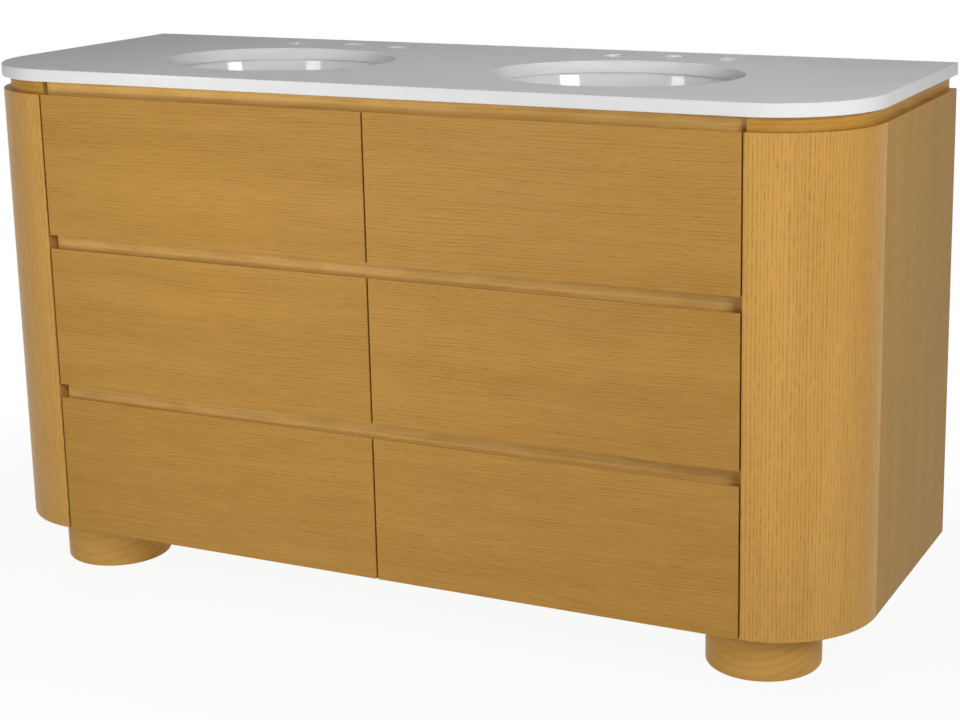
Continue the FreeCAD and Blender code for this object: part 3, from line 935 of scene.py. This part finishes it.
def add_board(points, faces, section, ends, place_corner):
    """One closed board: a section of depths and heights that runs between two ends."""
    first, count = len(points), len(section)
    points += [place_corner(depth, end, height) for end in ends for depth, height in section]
    faces.append(tuple(range(first, first + count)))
    faces.append(tuple(range(first + count, first + 2 * count)))
    for corner in range(count):
        after = (corner + 1) % count
        faces.append((first + corner, first + after, first + count + after, first + count + corner))


def plain_section(low, high):
    """The section of a board that stands on the plate."""
    return [(0, low), (BOX_WALL, low), (BOX_WALL, high), (0, high)]


def grooved_section(low, high, plate_low, plate_high):
    """The section of a board with a groove for the plate in its inner face."""
    floor = BOX_WALL - GROOVE_DEPTH
    groove = [(BOX_WALL, plate_low), (floor, plate_low), (floor, plate_high), (BOX_WALL, plate_high)]
    return [(0, low), (BOX_WALL, low), *groove, (BOX_WALL, high), (0, high)]


def drawer_walls(name):
    """All boards of one drawer box, in one piece."""
    low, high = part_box(name + "_drawer_box")
    plate_low, plate_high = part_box(name + "_drawer_bottom")
    points, faces = [], []

    def along_sides(section, face_x, inward, ends):
        add_board(points, faces, section, ends, lambda d, end, z: (face_x + inward * d, end, z))

    def along_front(section, face_y, ends):
        add_board(points, faces, section, ends, lambda d, end, z: (end, face_y + d, z))

    outer = grooved_section(low.z, high.z, plate_low.z, plate_high.z)
    inner = plain_section(plate_high.z, high.z)
    left, right, back = low.x + BOX_WALL, high.x - BOX_WALL, high.y - BOX_WALL
    along_sides(outer, low.x, 1, (low.y, high.y))
    along_sides(outer, high.x, -1, (low.y, high.y))
    along_front(outer, low.y, (left, right))
    if name.startswith("upper"):
        middle = (low.x + high.x) / 2
        notch_left, notch_right = middle - NOTCH_WIDTH / 2, middle + NOTCH_WIDTH / 2
        notch = bowl_middle.y - NOTCH_AHEAD - BOX_WALL
        along_sides(inner, notch_left, -1, (notch, high.y))
        along_sides(inner, notch_right, 1, (notch, high.y))
        along_front(inner, notch, (notch_left, notch_right))
        along_front(inner, back, (left, notch_left - BOX_WALL))
        along_front(inner, back, (notch_right + BOX_WALL, right))
    else:
        along_front(inner, back, (left, right))
    node, body = name + "_drawer_box", name + "_drawer"
    walls = make_piece(name + "_box_walls", points, faces, "birch_box", "drawer_wood", body, node)
    ease_edges(walls, BOARD_EASE, 2)
    return walls


box_walls = [drawer_walls(name) for name in drawer_names]
print(len(box_walls), "drawer boxes of", [len(walls.data.polygons) for walls in box_walls], "faces")

# %% [markdown]
# All other solids stay as they are: boards, rails, plates, runners, clips and pads. Their faces meet at
# razor edges, which no sawn board has. So each gets three modifiers: a weld joins the faces where they
# meet, the triangles of a flat face are made one again, and a small bevel breaks the edges. Then each
# takes the finish of its kind.

# %% Finishes on the kept solids
FLAT_ANGLE = math.radians(0.5)
WELD_REACH = 0.00001
METAL_EASE = 0.0002
kept = {
    # The rails take the pale rail oak with its painted light.
    "top_front_rail": "oak_rail", "upper_channel_rail": "oak_rail", "lower_channel_rail": "oak_rail",
    "left_upright": "plywood_upright", "right_upright": "plywood_upright",
    "centre_divider": "plywood_upright",
    "upper_back_rail": "plywood_back", "lower_back_rail": "plywood_back",
    "left_back_stile": "plywood_back", "right_back_stile": "plywood_back",
    "floor_panel": "plywood_flat", "left_corner_ribs": "plywood_flat", "right_corner_ribs": "plywood_flat",
    "left_sink_clips": "zinc_steel", "right_sink_clips": "zinc_steel", "foot_pads": "rubber",
}
for name in drawer_names:
    kept[name + "_drawer_bottom"] = "birch_plate"
    kept[name + "_drawer_runner_bars"] = "zinc_steel"
    kept[name + "_runner_channels"] = "zinc_steel"
for name, finish in kept.items():
    solid = solids[name]
    solid.data.materials.clear()
    solid.data.materials.append(finishes[finish])
    weld = solid.modifiers.new("joined_faces", "WELD")
    weld.merge_threshold = WELD_REACH
    flat = solid.modifiers.new("whole_faces", "DECIMATE")
    flat.decimate_type = "DISSOLVE"
    flat.angle_limit = FLAT_ANGLE
    ease_edges(solid, METAL_EASE if finish in ("zinc_steel", "rubber") else BOARD_EASE, 2)
replaced = {node for piece in bpy.data.objects for node in piece.get("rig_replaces", [])}
unseen = set(solids) - set(kept) - replaced
print(len(kept), "solids kept, left without a finish:", sorted(unseen))

# %% [markdown]
# Screws hold the boards together. Each drawer front is screwed on from inside its box, with pan heads in
# the front wall, and flat heads hold the back frame to the uprights. A head is a short stack of rings
# that closes over a six-sided socket. Threads are out of sight in the wood, so they are not made.

# %% Screws
HEAD_RADIUS = 0.0045
SOCKET_RADIUS = 0.0021
HEAD_SIDES = 12
CROWN_RADIUS = 0.0036
PAN_HEIGHT = 0.0022
FLAT_HEIGHT = 0.0004
# Radius and share of the height of each ring, from the wood over the crown and into the socket.
HEAD_RINGS = [
    (HEAD_RADIUS, 0.0),
    (HEAD_RADIUS, 0.5),
    (CROWN_RADIUS, 1.0),
    (SOCKET_RADIUS, 1.0),
    (SOCKET_RADIUS, 0.2),
]
PLATE_TOP = 0.018
LOW_WALL = 0.080
# Where screws sit, as shares of the width or height of what they hold.
FRONT_ACROSS = (0.15, 0.85)
LOW_WALL_UP = (0.5,)
HIGH_WALL_UP = (0.3, 0.7)
RAIL_UP = (0.25, 0.75)
STILE_UP = (0.1, 0.5, 0.9)


def screw_heads(name, spots, height, body):
    """Screw heads that look to the back, in one piece."""
    points, faces = [], []
    for spot in spots:
        first = len(points)
        for radius, share in HEAD_RINGS:
            for side in range(HEAD_SIDES):
                turn = 2 * math.pi * side / HEAD_SIDES
                half = radius * math.cos(math.pi / 6) if radius == SOCKET_RADIUS and side % 2 else radius
                x, z = spot[0] + half * math.cos(turn), spot[2] + half * math.sin(turn)
                points.append((x, spot[1] + share * height, z))
        for ring in range(len(HEAD_RINGS) - 1):
            low, high = first + ring * HEAD_SIDES, first + (ring + 1) * HEAD_SIDES
            for side in range(HEAD_SIDES):
                after = (side + 1) % HEAD_SIDES
                faces.append((low + side, high + side, high + after, low + after))
        faces.append(tuple(range(first, first + HEAD_SIDES)))
        last, centre = first + (len(HEAD_RINGS) - 1) * HEAD_SIDES, len(points)
        points.append((spot[0], spot[1] + HEAD_RINGS[-1][1] * height, spot[2]))
        faces += [(last + side, last + (side + 1) % HEAD_SIDES, centre) for side in range(HEAD_SIDES)]
    return make_piece(name, points, faces, "black_steel", "steel", body)


for name in drawer_names:
    low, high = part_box(name + "_drawer_box")
    plate = low.z + PLATE_TOP
    shares = LOW_WALL_UP if high.z - low.z < LOW_WALL else HIGH_WALL_UP
    spots = [
        (low.x + across * (high.x - low.x), low.y + BOX_WALL, plate + share * (high.z - plate))
        for across in FRONT_ACROSS for share in shares
    ]
    screw_heads(name + "_front_screws", spots, PAN_HEIGHT, name + "_drawer")
post_names = ("left_upright", "centre_divider", "right_upright")
posts = [sum(corner.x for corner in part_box(name)) / 2 for name in post_names]
spots = []
for name, share_list, across_list in (
    ("upper_back_rail", RAIL_UP, posts),
    ("lower_back_rail", RAIL_UP, posts),
    ("left_back_stile", STILE_UP, posts[:1]),
    ("right_back_stile", STILE_UP, posts[2:]),
):
    low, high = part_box(name)
    spots += [(x, high.y, low.z + share * (high.z - low.z)) for x in across_list for share in share_list]
back_screws = screw_heads("back_screws", spots, FLAT_HEIGHT, "cabinet")
print(len(spots), "screws in the back,", len(back_screws.data.polygons), "faces")

# %% [markdown]
# The floor and the surroundings are plain white paper. In the picture they are brighter than the object's
# light would make them, so for the camera, and for reflections, most of their brightness is their own.
# Near the cabinet the rest is real light, so the shadow stays there, and further out the paper fades to
# pure white. A little of the glow falls back on the cabinet and lifts the feet and the lower drawers, as
# a lit paper floor does.

# %% Floor and surroundings
FLOOR_HALF = 40.0
OWN_NEAR = 0.92
NEAR_REACH = 0.2
FAR_REACH = 0.7
FLOOR_GLOW = 0.22
FLOOR_PAPER = (0.80, 0.80, 0.80, 1)
SKY_PAPER = (1, 1, 1, 1)
SKY_FILL = 0.11


def seen_directly(tree):
    """1 for what the camera, a reflection or a clear piece sees, 0 for light that falls on the object."""
    path = tree.nodes.new("ShaderNodeLightPath")
    seen = sums(tree, "MAXIMUM", path.outputs["Is Camera Ray"], path.outputs["Is Glossy Ray"])
    return sums(tree, "MAXIMUM", seen, path.outputs["Is Transmission Ray"])


def white_floor():
    """A matt white floor that keeps a faint shadow."""
    finish = bpy.data.materials.new("white_floor")
    finish.use_nodes = True
    tree = finish.node_tree
    tree.nodes.clear()
    paper = tree.nodes.new("ShaderNodeBsdfDiffuse")
    paper.inputs["Color"].default_value = FLOOR_PAPER
    own = tree.nodes.new("ShaderNodeEmission")
    mix = tree.nodes.new("ShaderNodeMixShader")
    output = tree.nodes.new("ShaderNodeOutputMaterial")
    x, y, z = where(tree)
    out_x = sums(tree, "MAXIMUM", sums(tree, "SUBTRACT", sums(tree, "ABSOLUTE", x), top_high.x), 0.0)
    out_y = sums(tree, "MAXIMUM", sums(tree, "SUBTRACT", sums(tree, "ABSOLUTE", y), top_high.y), 0.0)
    squared = sums(tree, "MULTIPLY_ADD", out_x, out_x, sums(tree, "MULTIPLY", out_y, out_y))
    reach = sums(tree, "SQRT", squared)
    far = step(tree, reach, NEAR_REACH, FAR_REACH)
    share = sums(tree, "MULTIPLY_ADD", far, 1.0 - OWN_NEAR, OWN_NEAR)
    share = sums(tree, "MAXIMUM", sums(tree, "MULTIPLY", seen_directly(tree), share), FLOOR_GLOW)
    feed(tree, mix.inputs[0], share)
    tree.links.new(paper.outputs[0], mix.inputs[1])
    tree.links.new(own.outputs[0], mix.inputs[2])
    tree.links.new(mix.outputs[0], output.inputs["Surface"])
    return finish


ground = bpy.data.meshes.new("floor")
corners = [(-1, -1), (1, -1), (1, 1), (-1, 1)]
ground.from_pydata([(x * FLOOR_HALF, y * FLOOR_HALF, 0) for x, y in corners], [], [(0, 1, 2, 3)])
ground.materials.append(white_floor())
floor = bpy.data.objects.new("floor", ground)
bpy.context.scene.collection.objects.link(floor)
floor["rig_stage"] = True

world = bpy.data.worlds.new("surroundings")
bpy.context.scene.world = world
world.use_nodes = True
sky = world.node_tree
sky.nodes.clear()
fill = sky.nodes.new("ShaderNodeBackground")
fill.inputs["Strength"].default_value = SKY_FILL
paper = sky.nodes.new("ShaderNodeBackground")
paper.inputs["Color"].default_value = SKY_PAPER
mix = sky.nodes.new("ShaderNodeMixShader")
output = sky.nodes.new("ShaderNodeOutputWorld")
feed(sky, mix.inputs[0], seen_directly(sky))
sky.links.new(fill.outputs[0], mix.inputs[1])
sky.links.new(paper.outputs[0], mix.inputs[2])
sky.links.new(mix.outputs[0], output.inputs["Surface"])
print("floor and surroundings ready")

# %% [markdown]
# Soft lamps light it like a product picture. The main one stands at the front right, where it brings out
# the bend and shows as a bright pane on the left of each bowl. A small one at the front left is the pane
# on the right. A level one at the front reaches into the finger channels and fades to both ends, a weak
# low one at the right lifts the neck under the top, two over the top light the stone, and two behind keep
# the back readable. A narrow strip with a grid before it skims over the stone and lights the cut edges of
# the two ovals.

# %% Lamps
# Place, aim, width in metres and power in watts of each square lamp.
LAMPS = {
    "front_mid": ((-0.34, -1.35, 0.60), (-0.30, -0.28, 0.38), 0.5, 5.6),
    "front_right": ((1.93, -1.40, 1.36), (0.66, -0.22, 0.48), 0.7, 24.0),
    "right_low": ((1.60, -1.30, 0.30), (0.70, -0.22, 0.60), 0.4, 1.0),
    "left_pane": ((-0.69, -1.14, 1.09), (0.00, 0.14, 1.10), 0.28, 1.8),
    "overhead_front": ((0.55, -0.40, 2.50), (0.30, 0.00, 0.86), 1.0, 7.5),
    "overhead_left": ((-0.45, 0.05, 2.40), (-0.45, 0.05, 0.86), 0.8, 1.6),
    "back_left": ((-1.90, 1.60, 0.45), (-0.50, 0.28, 0.45), 0.6, 28.0),
    "back_right": ((0.35, 2.20, 0.45), (0.25, 0.28, 0.45), 0.6, 18.0),
}
STRIP_PLACE, STRIP_AIM = (0.25, -0.70, 0.96), (0.00, 0.14, 0.93)
STRIP_WIDTH, STRIP_HEIGHT = 1.1, 0.03
STRIP_POWER = 0.21
STRIP_FAN = math.radians(18)


def add_lamp(name, spot, target, width, power):
    """A square soft lamp that looks at a point."""
    lamp = bpy.data.lights.new(name, "AREA")
    lamp.shape = "SQUARE"
    lamp.size = width
    lamp.energy = power
    stand = bpy.data.objects.new(name, lamp)
    stand.location = spot
    stand.visible_camera = False
    face_towards(stand, Vector(target))
    bpy.context.scene.collection.objects.link(stand)
    return lamp


for name, (spot, target, width, power) in LAMPS.items():
    add_lamp(name, spot, target, width, power)
strip = add_lamp("rim_strip", STRIP_PLACE, STRIP_AIM, STRIP_WIDTH, STRIP_POWER)
strip.shape = "RECTANGLE"
strip.size_y = STRIP_HEIGHT
strip.spread = STRIP_FAN
print(len(LAMPS) + 1, "lamps")

# %% [markdown]
# Last come the plain colour transform and the two boxes: the box round the solids and the box round
# what is shown are printed side by side.

# %% Finish
bpy.context.scene.view_settings.view_transform = "Standard"
visual_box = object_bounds()
for label, box in (("cad", cad_box), ("visual", visual_box)):
    print(label, [[round(part, 4) for part in corner] for corner in box])
